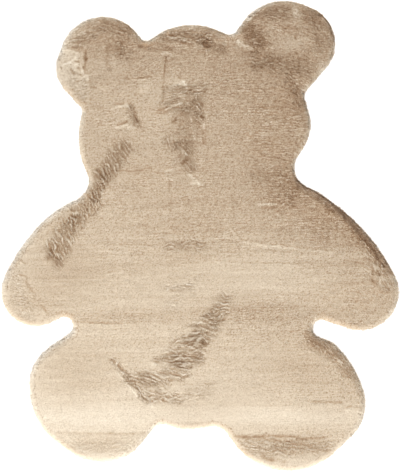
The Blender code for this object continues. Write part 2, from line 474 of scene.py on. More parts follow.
# %% The fold lines
class Fold(NamedTuple):
    """A thin line that a fold or a finger left, in millimetres: how much lighter it is, as a painted
    highlight on its lit side, and how much darker the painted shadow behind it. With no light, the
    dark line takes its place."""

    name: str
    x0: float
    y0: float
    x1: float
    y1: float
    width: float
    light: float
    shade: float


# each line's light is a painted highlight and its shade a painted shadow
FOLDS = (
    Fold("head_left", -73, 380, -74, 366, 1.5, 0.00, 0.36),
    Fold("head_left_low", -76, 361, -77, 336, 1.7, 0.00, 0.30),
    Fold("head_left_foot", -77, 331, -80, 282, 1.8, 0.00, 0.15),
    Fold("head_arch", -82, 385, -71, 389, 2.3, 0.14, 0.00),
    Fold("head_arch_end", -71, 389, -61, 383, 2.3, 0.16, 0.10),
    Fold("temple_spot", -156, 414, -154, 414, 2.6, 0.00, 0.34),
    Fold("temple_fold", -163, 330, -133, 330, 1.9, 0.05, 0.18),
    Fold("temple_fold_end", -133, 331, -107, 333, 2.1, 0.11, 0.22),
    Fold("head_right", 14, 395, 10, 323, 2.1, 0.14, 0.10),
    Fold("strip_spot", 4, 252, 6, 250, 2.6, 0.00, 0.40),
    Fold("strip_spot_top", 4, 280, 4, 274, 2.4, 0.00, 0.26),
    Fold("strip_spot_mid", -1, 237, -1, 231, 2.3, 0.00, 0.22),
    Fold("strip_spot_low", 6, 222, 6, 216, 2.3, 0.00, 0.24),
    Fold("strip_spot_foot", 7, 204, 9, 195, 2.6, 0.00, 0.36),
    Fold("strip_light", 8, 235, 8, 227, 2.1, 0.16, 0.00),
    Fold("strip_light_low", 3, 205, 4, 199, 2.1, 0.18, 0.00),
    Fold("strip_dash", -58, 241, -53, 247, 2.4, 0.00, 0.26),
    Fold("strip_dash_top", -45, 256, -30, 256, 2.0, 0.00, 0.16),
    Fold("strip_thread", -21, 250, -13, 205, 1.9, 0.14, 0.00),
    Fold("head_right_low", 8, 242, 10, 190, 2.1, 0.14, 0.14),
    Fold("crown_ridge", -65, 417, -45, 420, 2.3, 0.24, 0.00),
    Fold("crown_ridge_mid", -45, 420, -35, 414, 2.3, 0.24, 0.00),
    Fold("crown_ridge_end", -35, 414, -24, 410, 2.3, 0.14, 0.00),
    Fold("crown_dash", -59, 414, -49, 414, 1.9, 0.00, 0.26),
    Fold("crown_dash_mid", -39, 409, -29, 409, 2.1, 0.00, 0.36),
    Fold("crown_dash_end", -24, 405, -18, 405, 2.1, 0.00, 0.26),
    Fold("crown_edge_left", -71, 432, -65, 433, 3.4, 0.21, 0.10),
    Fold("crown_edge_mid", -60, 438, -37, 443, 2.8, 0.13, 0.00),
    Fold("crown_edge_right", -30, 442, -20, 448, 2.8, 0.14, 0.10),
    Fold("crown_knob", -17, 441, -13, 437, 3.2, 0.22, 0.00),
    Fold("crown_knob_low", -18, 427, -9, 427, 2.6, 0.18, 0.12),
    Fold("crown_hollow", -43, 432, -26, 425, 6.0, 0.00, 0.16),
    Fold("crown_patch", -73, 398, -62, 396, 5.0, 0.00, 0.14),
    Fold("crown_tuft", 14, 426, 14, 417, 2.3, 0.13, 0.00),
    Fold("crown_dark", 7, 409, 15, 411, 3.4, 0.00, 0.34),
    Fold("crown_dark_low", 10, 403, 19, 400, 3.6, 0.00, 0.32),
    Fold("crown_dot", 15, 394, 18, 392, 3.4, 0.26, 0.00),
    Fold("ear_dip", -130, 401, -109, 401, 2.1, 0.00, 0.26),
    Fold("brow_ridge", -65, 314, -37, 325, 2.6, 0.22, 0.00),
    Fold("brow_stroke", -35, 325, -26, 310, 2.3, 0.14, 0.00),
    Fold("brow_arc", -4, 322, 5, 325, 2.3, 0.16, 0.14),
    Fold("brow_tooth", -7, 315, -5, 306, 2.1, 0.14, 0.00),
    Fold("brow_dot", -46, 335, -43, 333, 2.3, 0.00, 0.26),
    Fold("brow_dot_right", -22, 329, -15, 329, 2.1, 0.00, 0.20),
    Fold("brow_hollow", -52, 308, -30, 312, 4.7, 0.00, 0.12),
    Fold("brow_spot", -26, 306, -15, 306, 2.8, 0.00, 0.30),
    Fold("brow_comb", -35, 325, -28, 308, 2.1, 0.14, 0.00),
    Fold("rim_left", -73, 269, -43, 280, 2.8, 0.21, 0.00),
    Fold("rim_middle", -43, 280, -28, 280, 2.3, 0.19, 0.00),
    Fold("rim_right", -28, 280, -7, 274, 2.3, 0.13, 0.12),
    Fold("rim_shade", -77, 263, -48, 272, 2.1, 0.00, 0.18),
    Fold("rim_dark", -88, 267, -71, 272, 2.8, 0.00, 0.26),
    Fold("rim_dark_low", -94, 261, -77, 259, 2.8, 0.00, 0.16),
    Fold("nose_arc", -48, 188, -28, 171, 2.6, 0.18, 0.14),
    Fold("nose_spot", -39, 152, -28, 161, 3.4, 0.00, 0.22),
    Fold("tuft_long", -26, 131, -3, 109, 2.6, 0.26, 0.00),
    Fold("tuft_short", -18, 109, 4, 109, 2.4, 0.25, 0.00),
    Fold("tuft_left", -73, 137, -58, 139, 2.6, 0.18, 0.00),
    Fold("tuft_left_low", -75, 120, -58, 116, 2.3, 0.18, 0.00),
    Fold("chest_line", -65, 116, -65, 94, 2.3, 0.00, 0.18),
    Fold("chest_line_low", -62, 90, -67, 45, 2.1, 0.02, 0.08),
    Fold("cheek_top_shade", -231, 271, -205, 271, 2.1, 0.00, 0.12),
    Fold("cheek_top_shade_end", -182, 278, -163, 280, 2.6, 0.00, 0.18),
    Fold("cheek_top", -192, 266, -169, 274, 2.6, 0.12, 0.00),
    Fold("cheek_top_end", -169, 274, -154, 277, 3.0, 0.13, 0.00),
    Fold("cheek_top_knob", -153, 276, -151, 266, 3.0, 0.13, 0.00),
    Fold("cheek_mid_shade", -192, 241, -165, 249, 2.4, 0.00, 0.22),
    Fold("cheek_mid", -199, 236, -178, 244, 2.6, 0.14, 0.00),
    Fold("cheek_mid_end", -178, 243, -156, 253, 3.0, 0.13, 0.00),
    Fold("cheek_low_shade", -174, 233, -156, 240, 2.4, 0.00, 0.26),
    Fold("cheek_low", -179, 227, -156, 235, 3.0, 0.14, 0.00),
    Fold("cheek_low_blob", -153, 229, -143, 228, 3.8, 0.14, 0.00),
    Fold("cheek_low_curl", -135, 236, -130, 234, 2.4, 0.16, 0.10),
    Fold("cheek_back", -149, 280, -144, 263, 4.6, 0.00, 0.07),
    Fold("cheek_back_low", -144, 263, -134, 245, 4.6, 0.00, 0.08),
    Fold("cheek_spots", -139, 251, -134, 243, 2.4, 0.00, 0.26),
    Fold("cheek_back_end", -129, 233, -122, 225, 4.0, 0.00, 0.08),
    Fold("cheek_thread", -197, 248, -173, 265, 2.0, 0.08, 0.05),
    Fold("cheek_thread_low", -188, 246, -163, 264, 2.0, 0.07, 0.05),
    Fold("neck_left", -188, 135, -137, 133, 2.1, 0.05, 0.18),
    Fold("neck_left_end", -137, 135, -105, 141, 2.1, 0.04, 0.14),
    Fold("jaw_right", 132, 236, 179, 246, 2.4, 0.12, 0.08),
    Fold("jaw_right_rise", 179, 246, 207, 252, 2.6, 0.16, 0.12),
    Fold("jaw_right_end", 207, 252, 231, 263, 2.8, 0.20, 0.12),
    Fold("jaw_right_upper", 106, 269, 204, 268, 2.0, 0.03, 0.14),
    Fold("neck_right", 128, 169, 194, 152, 2.3, 0.06, 0.16),
    Fold("chest_right", 125, 64, 145, 67, 2.3, 0.19, 0.00),
    Fold("chest_right_end", 145, 67, 175, 64, 2.1, 0.19, 0.00),
    Fold("chest_right_low", 132, 58, 162, 60, 2.1, 0.00, 0.14),
    Fold("waist_right", 91, -16, 170, -26, 2.8, 0.15, 0.06),
    Fold("waist_right_end", 170, -26, 277, -37, 2.6, 0.13, 0.05),
    Fold("body_streak", 10, -57, 213, -66, 3.0, 0.06, 0.04),
    Fold("body_streak_low", 64, -79, 256, -74, 2.6, 0.05, 0.04),
    Fold("body_left_line", -218, -23, -107, -24, 2.4, 0.08, 0.06),
    Fold("body_low_line", 132, -111, 213, -112, 2.6, 0.08, 0.04),
    Fold("body_curve", 55, 26, 83, -12, 2.8, 0.08, 0.05),
    Fold("waist_right_dark", 85, -59, 239, -59, 1.9, 0.00, 0.10),
    # painted shadow along the top edge of the right shoulder and arm, where the edge stands in shade
    Fold("edge_shadow_1", 204, 118, 239, 98, 2.2, 0.00, 0.85),
    Fold("edge_shadow_2", 239, 98, 277, 70, 2.2, 0.00, 0.85),
    Fold("edge_shadow_3", 277, 70, 311, 37, 2.2, 0.00, 0.85),
    Fold("edge_shadow_4", 311, 37, 341, 3, 2.2, 0.00, 0.85),
    Fold("edge_shadow_5", 341, 3, 369, -34, 2.2, 0.00, 0.85),
    Fold("edge_shadow_6", 369, -34, 390, -66, 2.2, 0.00, 0.85),
    Fold("arm_right_dark", 307, -53, 345, -61, 2.1, 0.00, 0.10),
    Fold("hand_right_spot", 375, -79, 382, -85, 3.4, 0.00, 0.40),
    Fold("hand_right_tuft", 369, -67, 379, -72, 3.0, 0.25, 0.00),
    Fold("hand_right_patch", 384, -94, 399, -96, 5.0, 0.17, 0.00),
    Fold("hand_right_arc", 365, -66, 365, -96, 3.0, 0.00, 0.16),
    Fold("hand_right_arc_end", 365, -96, 375, -108, 3.0, 0.00, 0.18),
    Fold("hand_right_edge", 392, -61, 407, -79, 3.2, 0.00, 0.22),
    Fold("hand_right_light", 397, -177, 407, -158, 3.0, 0.14, 0.00),
    Fold("ear_left_upright", -197, 404, -199, 361, 2.2, 0.00, 0.10),
    Fold("ear_left_rim_dot", -205, 455, -199, 453, 2.6, 0.00, 0.22),
    Fold("ear_left_ray", -293, 361, -276, 368, 2.3, 0.20, 0.14),
    Fold("ear_left_ray_end", -276, 368, -264, 379, 2.6, 0.24, 0.16),
    Fold("ear_left_arch", -284, 393, -261, 387, 2.6, 0.17, 0.14),
    Fold("ear_left_arch_end", -261, 387, -263, 374, 3.0, 0.19, 0.06),
    Fold("ear_left_knob", -266, 362, -262, 362, 4.2, 0.21, 0.10),
    Fold("ear_left_knob_shade", -265, 369, -258, 368, 2.1, 0.00, 0.26),
    Fold("ear_left_curl", -252, 357, -250, 346, 2.8, 0.22, 0.00),
    Fold("ear_left_curl_shade", -261, 355, -258, 354, 2.6, 0.00, 0.24),
    Fold("ear_left_fold", -274, 351, -270, 342, 2.8, 0.00, 0.26),
    Fold("ear_left_fold_low", -270, 339, -255, 338, 2.6, 0.15, 0.26),
    Fold("ear_left_spot", -244, 374, -243, 373, 3.2, 0.00, 0.50),
    Fold("ear_left_spot_low", -249, 357, -248, 356, 3.0, 0.00, 0.48),
    Fold("ear_left_seam", -243, 393, -245, 378, 2.8, 0.00, 0.24),
    Fold("ear_left_seam_low", -245, 370, -246, 344, 3.2, 0.05, 0.22),
    Fold("ear_left_top_line", -272, 399, -250, 398, 2.3, 0.00, 0.20),
    Fold("ear_left_top_dark", -259, 410, -250, 409, 4.2, 0.00, 0.16),
    Fold("ear_left_hook", -252, 335, -241, 339, 2.6, 0.16, 0.10),
    Fold("ear_left_hook_end", -241, 339, -238, 331, 2.6, 0.13, 0.00),
    Fold("ear_left_hook_shade", -265, 331, -259, 327, 3.0, 0.00, 0.18),
    Fold("ear_left_edge", -234, 331, -231, 314, 3.2, 0.00, 0.14),
    Fold("ear_left_dot", -225, 315, -223, 314, 2.1, 0.00, 0.26),
    Fold("ear_left_dot_rim", -296, 356, -294, 355, 2.3, 0.00, 0.22),
    Fold("ear_right_fringe", 87, 442, 121, 479, 3.6, 0.22, 0.00),
    Fold("ear_right_fringe_top", 121, 479, 157, 489, 3.2, 0.20, 0.00),
    # painted shadow along the right ear's top edge
    Fold("ear_right_line", 219, 495, 251, 478, 2.0, 0.00, 0.45),
    Fold("ear_right_line_mid", 251, 478, 275, 449, 2.0, 0.00, 0.45),
    Fold("ear_right_line_low", 275, 449, 286, 410, 2.0, 0.00, 0.40),
    Fold("ear_right_dash", 179, 440, 209, 436, 3.0, 0.00, 0.16),
    Fold("ear_right_dash_low", 115, 360, 132, 358, 2.6, 0.00, 0.20),
    Fold("ear_right_dash_side", 247, 430, 249, 412, 3.4, 0.00, 0.14),
    Fold("ear_right_speck", 201, 420, 203, 417, 2.2, 0.00, 0.30),
    Fold("ear_right_speck_low", 202, 389, 204, 385, 2.4, 0.00, 0.30),
    Fold("ear_right_root", 66, 427, 83, 408, 3.8, 0.24, 0.00),
    Fold("ear_right_root_low", 83, 408, 110, 395, 3.8, 0.24, 0.00),
    Fold("hand_left_top", -383, -34, -377, -44, 2.6, 0.06, 0.14),
    Fold("hand_left_upper", -382, -57, -373, -64, 2.6, 0.10, 0.18),
    Fold("hand_left_mid", -385, -87, -370, -92, 2.6, 0.08, 0.14),
    Fold("hand_left_inner", -369, -95, -361, -119, 3.4, 0.00, 0.14),
    Fold("hand_left_low", -361, -119, -354, -140, 3.4, 0.04, 0.12),
    Fold("hand_left_foot", -338, -153, -324, -173, 2.8, 0.04, 0.18),
    Fold("arm_left_light", -225, -32, -150, -38, 2.8, 0.08, 0.03),
    Fold("arm_left_low", -197, -83, -163, -79, 2.8, 0.11, 0.05),
    Fold("waist_left", -265, -187, -167, -192, 2.1, 0.02, 0.12),
    Fold("belly_rim", -188, -271, -163, -309, 2.6, 0.14, 0.00),
    Fold("belly_rim_low", -163, -309, -133, -341, 2.6, 0.12, 0.00),
    Fold("belly_rim_foot", -133, -341, -101, -365, 2.6, 0.12, 0.00),
    Fold("belly_bright", -101, -275, -69, -275, 2.8, 0.19, 0.00),
    Fold("belly_cheek", -22, -237, 8, -249, 2.6, 0.18, 0.12),
    Fold("foot_left", -304, -420, -116, -422, 3.2, 0.00, 0.14),
    Fold("foot_right", 74, -427, 132, -429, 3.0, 0.00, 0.30),
    Fold("foot_right_mid", 132, -429, 204, -432, 2.6, 0.05, 0.22),
    Fold("foot_right_end", 204, -432, 264, -431, 2.6, 0.00, 0.16),
    Fold("foot_right_second", 132, -435, 181, -442, 2.4, 0.06, 0.16),
    Fold("foot_right_second_mid", 181, -442, 230, -452, 2.4, 0.06, 0.18),
    Fold("foot_right_second_end", 230, -452, 273, -465, 2.4, 0.05, 0.12),
    Fold("foot_right_dashes", 85, -364, 181, -365, 2.0, 0.05, 0.08),
    Fold("heel_tuft", 311, -375, 335, -371, 4.2, 0.12, 0.00),
    Fold("sole_spot", 132, -469, 153, -478, 4.6, 0.00, 0.26),
    Fold("sole_spot_end", 153, -478, 179, -482, 4.0, 0.00, 0.16),
    Fold("thigh_line", 213, -279, 324, -284, 2.2, 0.04, 0.07),
    Fold("thigh_line_low", 132, -313, 277, -318, 2.2, 0.05, 0.07),
    Fold("thigh_dark", 239, -353, 298, -356, 2.8, 0.00, 0.16),
    Fold("thigh_dark_low", 309, -365, 341, -366, 2.4, 0.00, 0.14),
)
LIGHT_SIDE = (-0.45, -0.89)  # the light comes from the bottom left
FOLD_WANDER = 1.6 * MM
FOLD_MEAN = 0.85
FOLD_UNEVEN = 0.35
SHADE_BEHIND = 1.4  # how many widths behind its light line the dark one lies


def folded(x, y):
    """Tone of the folds, painted highlights and shadows. Each line fades as exp of minus the square,
    wanders and is uneven.
    """
    tone = np.zeros(len(x))
    x = x + FOLD_WANDER * mottle(x, y, 11 * MM, 11 * MM, 4)
    y = y + FOLD_WANDER * mottle(x, y, 11 * MM, 11 * MM, 7)
    for fold in FOLDS:
        at = close_to(x, y, fold, 5.0)
        px, py, width = x[at], y[at], fold.width * MM
        step = SHADE_BEHIND * width if fold.light else 0.0
        here = distance_to_line(px, py, fold) / width
        behind = distance_to_line(px + step * LIGHT_SIDE[0], py + step * LIGHT_SIDE[1], fold) / width
        uneven = FOLD_MEAN + FOLD_UNEVEN * mottle(px, py, 12 * MM, 12 * MM, 1)
        tone[at] += uneven * (fold.light * np.exp(-here * here) - fold.shade * np.exp(-behind * behind))
    return tone


print("fold lines:", len(FOLDS))

# %% [markdown]
# ## Broad light and dark
#
# A pile that leans away from the eye looks light, and one that leans towards it looks dark,
# because then the eye looks down between the hairs. Over the whole rug that gives broad, soft
# patches. They are painted into the tone as light and shade: a slope, darker from the bottom left
# up to the top right, away from the light, plus soft patches.


# %% The broad patches of tone
class Patch(NamedTuple):
    """A soft patch of tone, painted light above 0 and painted shade below: its centre and half sizes in
    millimetres, and how it changes the tone.
    """

    name: str
    x: float
    y: float
    half_width: float
    half_height: float
    tone: float


# painted light where the pile leans away from the eye, painted shade where it leans towards it
PATCHES = (
    Patch("right_ear", 195, 430, 95, 75, 0.05),
    Patch("ear_right_hollow", 145, 374, 21, 13, -0.10),
    Patch("ear_right_foot", 256, 357, 17, 19, 0.14),
    Patch("ear_right_pale", 204, 474, 13, 13, 0.14),
    Patch("ear_right_middle", 192, 408, 30, 15, 0.07),
    Patch("left_ear_patch", -167, 402, 15, 15, -0.06),
    Patch("head_light", -116, 314, 15, 15, 0.07),
    Patch("crown_edge", -20, 420, 90, 26, 0.03),
    Patch("left_ear_inner", -190, 405, 70, 40, -0.05),
    Patch("left_ear_rim", -290, 350, 40, 70, 0.20),
    Patch("head_left", -182, 306, 73, 60, 0.02),
    Patch("head_middle", -90, 240, 110, 60, 0.04),
    Patch("brow", -50, 310, 60, 40, 0.08),
    Patch("right_cheek", 190, 260, 60, 90, -0.07),
    Patch("right_neck", 190, 120, 60, 50, -0.10),
    Patch("right_shoulder", 310, 50, 90, 60, -0.17),
    Patch("right_chest", 175, 70, 50, 20, -0.08),
    Patch("chest", -60, 45, 141, 85, -0.02),
    Patch("body_light", 132, -79, 192, 60, 0.07),
    Patch("belly_left", -270, -284, 98, 73, -0.09),
    Patch("belly_low", -20, -385, 110, 30, -0.11),
    Patch("left_hand", -350, -150, 50, 40, -0.04),
    Patch("right_hip", 251, -222, 23, 17, -0.22),
    Patch("right_thigh_edge", 330, -320, 40, 70, -0.02),
    Patch("left_arm", -287, -79, 90, 73, -0.07),
    Patch("body_middle", -9, -57, 85, 56, -0.03),
    Patch("right_thigh", 213, -284, 85, 51, -0.04),
    Patch("left_ear_calm", -193, 370, 26, 26, 0.06),
    Patch("waist", 120, -165, 110, 30, -0.08),
    Patch("left_waist", -160, -175, 100, 14, -0.08),
    Patch("foot_light", -30, -385, 420, 26, 0.13),
    Patch("bottom_edge", -30, -480, 400, 50, 0.14),
    Patch("right_sole", 172, -450, 118, 34, -0.16),
    Patch("left_sole", -212, -445, 85, 24, -0.16),
)
TONE_AT_MIDDLE = 0.52
# painted shade: the tone falls towards the top right, away from the light at the bottom left
SHADE_SLOPE_X = -0.16  # for each metre towards +X
SHADE_SLOPE_Y = -0.24  # for each metre towards +Y


def tone_and_broad_shade(x, y):
    """The middle tone with the painted slope of shade, and the patches of painted light and shade, each
    patch fading as exp of minus the square of the scaled distance.
    """
    tone = TONE_AT_MIDDLE + SHADE_SLOPE_X * x + SHADE_SLOPE_Y * y
    for patch in PATCHES:
        dx = (x / MM - patch.x) / patch.half_width
        dy = (y / MM - patch.y) / patch.half_height
        tone = tone + patch.tone * np.exp(-(dx * dx) - dy * dy)
    return tone


print("patches of tone:", len(PATCHES))

# %% [markdown]
# ## Small ripples
#
# Between the marks the plush isn't even either: small ripples lie across its lean, mostly level,
# and tilted where the pile fans out at an ear, a cheek or a hand. They raise the tips a little, and
# their rims and hollows are painted into the tone as highlights and shade, most in the dark parts,
# where the eye looks in between the tufts, and hardly at all in the light ones. One noise could be
# stretched and bent to follow them, but bending squeezes it in some places and pulls it apart in
# others. So each tilted place has its own set of ripples, which fades into the level one.


# %% Ripples, level and tilted
class Nap(NamedTuple):
    """A place whose ripples differ: its centre and half sizes in millimetres, the angle of the
    ripples in degrees, and how many times as strong the texture is."""

    name: str
    x: float
    y: float
    half_width: float
    half_height: float
    angle: float
    gain: float


NAPS = (
    Nap("right_ear", 185, 410, 105, 90, -16, 1),
    Nap("right_cheek", 205, 300, 45, 45, -28, 1),
    Nap("left_ear", -245, 400, 70, 80, 25, 0.9),
    Nap("head_slant", -107, 366, 43, 30, 28, 0.85),
    Nap("left_ear_low", -282, 314, 30, 28, -38, 1.6),
    Nap("left_ear_mid", -200, 372, 45, 40, 8, 0.7),
    Nap("left_cheek", -190, 260, 60, 60, 10, 1),
    Nap("left_hand", -380, -120, 38, 75, -12, 1),
    Nap("right_hand", 375, -90, 45, 70, -25, 1),
    Nap("right_thigh", 300, -270, 45, 60, -20, 1.2),
    Nap("neck_right", 135, 118, 85, 55, 0, 1),
    Nap("body_middle", 0, -57, 75, 60, 0, 1.1),
    Nap("waist_right", 150, -200, 110, 45, 0, 1.3),
    Nap("left_arm", -287, -79, 98, 73, 0, 0.2),
    Nap("belly_left", -270, -292, 94, 73, 0, 0.15),
    Nap("left_sole", -214, -450, 90, 26, 0, 0.2),
    Nap("body_low", -22, -106, 192, 64, 0, 0.6),
    Nap("thigh_calm", 213, -271, 98, 56, 0, 0.55),
    Nap("belly_right", 68, -352, 85, 43, 0, 0.5),
    Nap("foot_light", -80, -385, 320, 30, 0, 0.5),
)
NAP_REACH = 2.5  # the squared distance from which a nap's weight is next to nothing
RIPPLE_MEAN = 0.7
RIPPLE_SWELL = 0.6  # over a finger's length
THREADS = 0.3  # weight of the single hairs that lie along the ripples
RIPPLES = (  # the unit is a millimetre
    Ruffles(0.55, 5.6, 14, 5, 0.00, 0.4, 0.20, 0.8),
    Ruffles(0.65, 3.8, 9, 3, -0.08, 0.4, 0.20, 0.8),
)


def ripple_set(x, y, angle):
    """Two sizes of small ruffles whose hollows are deeper than their rims are high, and threads."""
    threads = mottle(x, y, 6 * MM, 2.2 * MM, 6, angle - 0.05)
    return ruffled(x, y, RIPPLES, MM, angle) + THREADS * threads


def ripples(x, y):
    """Height of the ripples and the gain of the texture at each place.

    Each nap's weight is exp of minus the fourth power of the scaled distance from its centre.
    """
    height = ripple_set(x, y, 0.0)
    gain = np.ones(len(x))
    for nap in NAPS:
        dx = (x / MM - nap.x) / nap.half_width
        dy = (y / MM - nap.y) / nap.half_height
        away = dx * dx + dy * dy
        at = np.flatnonzero(away < NAP_REACH)
        weight = np.exp(-away[at] ** 2)
        gain[at] += weight * (nap.gain - 1)
        if nap.angle:
            turned_set = ripple_set(x[at], y[at], math.radians(nap.angle))
            height[at] += weight * (turned_set - height[at])
    return (RIPPLE_MEAN + RIPPLE_SWELL * mottle(x, y, 42 * MM, 26 * MM, 1)) * height, gain


print("naps:", len(NAPS))

# %% [markdown]
# ## The ground under the pile
#
# Between the hairs one looks into a dense, shaded mat. It could be left out, but then the felt
# would show through each gap. So the ground is a soft sheet of its own, about two thirds as high
# as the pile: rings carried in from the outline make its rounded rim, a fine net of triangles
# fills the middle, and it is closed underneath. Its finish is a brown darker than the pile, which
# paints the shade between the hairs.

# %% Heights
felt_low, felt_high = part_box("felt_backing")
plush_low, plush_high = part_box("plush_pile_cloth")
GROUND_FOOT = plush_low.z
GROUND_DEPTH = 10.3 * MM
GROUND_WAVES = 0.8 * MM
GROUND_RIPPLES = 0.4 * MM
GROUND_HOLLOWS = 1.2 * MM  # in a brush mark
RIM_OUTER = 4.0 * MM  # inset at which the ground's wall stands on the felt
RIM_INNER = 15.0 * MM  # inset at which the ground reaches its full height
RIM_RINGS = 8
NET_SPACING = 5.0 * MM
NET_GAP = 0.6  # of a spacing between the last ring and the net


def ground_depth(x, y):
    """Height of the ground above its foot: its depth, broad waves, ripples and brushed hollows."""
    rough = np.clip(brushed(x, y)[1], 0, 1)
    waves = mottle(x, y, 120 * MM, 120 * MM, 5)
    small = mottle(x, y, 16 * MM, 8 * MM, 3)
    return GROUND_DEPTH + GROUND_WAVES * waves + GROUND_RIPPLES * small - GROUND_HOLLOWS * rough


def ground_mesh():
    """Corners and triangles of the ground.

    A ring's inset and share of the height follow a quarter of an ellipse. Inside the last ring a
    triangular net of points is joined to it by a Delaunay triangulation. The bottom is one too.
    """
    places, outs = walk_round(5 * MM)
    angles = np.linspace(0, math.pi / 2, RIM_RINGS)
    insets = RIM_OUTER + (RIM_INNER - RIM_OUTER) * (1 - np.cos(angles))
    rings = [places - outs * inset for inset in insets]
    count = len(places)

    rows = np.arange(felt_low.y, felt_high.y, NET_SPACING * math.sqrt(3) / 2)
    columns = np.arange(felt_low.x, felt_high.x, NET_SPACING)
    grid_x, grid_y = np.meshgrid(columns, rows)
    grid_x = grid_x + (np.arange(len(rows)) % 2)[:, None] * NET_SPACING / 2
    keep = edge_of(grid_x, grid_y)[0] > RIM_INNER + NET_SPACING * NET_GAP
    inner = np.stack([grid_x[keep], grid_y[keep]], -1)

    flat = np.concatenate(rings + [inner])
    share = np.concatenate([np.full(count, math.sin(a)) for a in angles] + [np.ones(len(inner))])
    z = GROUND_FOOT + share * ground_depth(flat[:, 0], flat[:, 1])
    corners = np.column_stack([flat, z])

    around = np.arange(count)
    ahead = np.roll(around, -1)
    faces = []
    for ring in range(RIM_RINGS - 1):
        low, high = ring * count, (ring + 1) * count
        faces.append(np.column_stack([low + around, low + ahead, high + ahead]))
        faces.append(np.column_stack([low + around, high + ahead, high + around]))
    last = (RIM_RINGS - 1) * count
    border = list(range(count))
    found = delaunay_2d_cdt([Vector(p) for p in flat[last:]], [], [border], 1, 1e-7)
    faces.append(np.array(found[2]) + last)
    under = delaunay_2d_cdt([Vector(p) for p in flat[:count]], [], [border], 1, 1e-7)
    faces.append(np.array(under[2])[:, ::-1])
    if len(found[0]) != len(flat) - last or len(under[0]) != count:
        raise ValueError("two points of the ground fall together")
    return corners, np.concatenate(faces)


# %% From arrays to a piece
def new_piece(name, corners, faces, uv=None):
    """A mesh object at the origin from an array of corners and one of triangles, shaded smooth."""
    data = bpy.data.meshes.new(name)
    data.vertices.add(len(corners))
    data.vertices.foreach_set("co", np.asarray(corners, np.float32).ravel())
    data.loops.add(faces.size)
    data.loops.foreach_set("vertex_index", np.asarray(faces, np.int32).ravel())
    data.polygons.add(len(faces))
    data.polygons.foreach_set("loop_start", np.arange(0, faces.size, 3, dtype=np.int32))
    data.update(calc_edges=True)
    if uv is not None:
        layer = data.uv_layers.new(name="OFBake")
        layer.uv.foreach_set("vector", np.asarray(uv[faces.ravel()], np.float32).ravel())
    data.shade_smooth()
    piece = bpy.data.objects.new(name, data)
    bpy.context.scene.collection.objects.link(piece)
    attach(piece, "root")
    print(f"{name}: {len(faces)} triangles, {corners[:, 2].min() / MM:.1f} to "
          f"{corners[:, 2].max() / MM:.1f} mm high")
    return piece


ground = new_piece("plush_ground", *ground_mesh())

# %% [markdown]
# ## The hairs
#
# A hair here is a leaf: a kite with its corners at the root, at both sides of the knee and at the
# tip, folded at the knee. Two triangles bend well enough, and about 450,000 leaves cover the
# rug. All of them come from one function of whole arrays. It takes a root, the ground's
# normal there and the way the pile leans, and carries the leaf up along the normal and over along
# the lean, so that on the rounded rim the same rule lays the hairs down over the edge.

# %% Leaves from arrays
KNEE = 0.74  # where the leaf folds, as a share of its length
ROOT_LEAN = 0.55  # share of the lean below the knee
TIP_LEAN = 1.30  # and above it
HALF_MAP = 0.004  # half a leaf's width on the map
TONE_RANGE = (0.02, 0.98)  # the leaves keep off the map's own edge
FLOOR_GAP = 0.4 * MM

# For the four corners of a leaf, from the root by the two at the knee to the tip:
TO_SIDE = (0, -1, 1, 0)  # how many half widths it is to the side on the map
ALONG = (0.02, KNEE, KNEE, 0.98)  # how far along the hair it is
BARE_RISE = (0.68, 0.25, 0.25, 0.0)  # how far up the map it is moved in a bare leaf
DEEP_FALL = (0.0, 1.0, 1.0, 1.0)  # the share by which it is moved down in a deep one


def normalised(vectors):
    """The same directions with length 1."""
    return vectors / np.maximum(np.linalg.norm(vectors, axis=-1, keepdims=True), 1e-12)


def carried(root, normal, heading, lean, length, pull):
    """Where each leaf folds and where it ends, and the direction across it.

    The lean direction is the heading laid into the ground's plane. A stretch of the leaf goes
    cos(lean) along the normal and sin(lean) along that direction, less lean below the knee than
    above it. pull moves the tip, and the knee by a third as much, towards the middle of its tuft.
    """
    flat = np.stack([np.cos(heading), np.sin(heading), np.zeros_like(heading)], -1)
    over = normalised(flat - normal * np.sum(flat * normal, -1, keepdims=True))
    low, high = (lean * ROOT_LEAN)[:, None], (lean * TIP_LEAN)[:, None]
    first = np.cos(low) * normal + np.sin(low) * over
    second = np.cos(high) * normal + np.sin(high) * over
    knee = root + first * length[:, None] * KNEE + pull / 3
    tip = knee + second * length[:, None] * (1 - KNEE) + pull * 2 / 3
    return knee, tip, np.cross(normal, over)


def leaves(root, knee, tip, side, width, roll, tones, bare, deep):
    """Corners, triangles and map of the leaves.

    Each is a kite, as wide as width at its knee, rolled a little about its own length. On the map,
    u is the tone at each corner and v runs from the root to the tip, where the finish paints shade
    towards the root. A leaf that is bare to the light down to its root starts higher on the map, out
    of that painted shade, and one that stands deep among ruffled neighbours ends lower on it, in
    deeper and warmer painted shade. No corner goes below the floor.
    """
    along = normalised(tip - knee)
    across = side * np.cos(roll)[:, None] + np.cross(along, side) * np.sin(roll)[:, None]
    half = across * width[:, None] / 2
    corners = np.stack([root, knee - half, knee + half, tip], 1)
    corners[:, :, 2] = np.maximum(corners[:, :, 2], FLOOR_GAP)
    each = np.array([[0, 1, 2], [1, 3, 2]])
    faces = (np.arange(len(root))[:, None, None] * 4 + each).reshape(-1, 3)
    u = np.clip(tones, *TONE_RANGE) + np.array(TO_SIDE) * HALF_MAP
    v = np.array(ALONG) + bare[:, None] * np.array(BARE_RISE) - deep[:, None] * np.array(DEEP_FALL)
    return corners.reshape(-1, 3), faces, np.stack([u, v], -1).reshape(-1, 2)


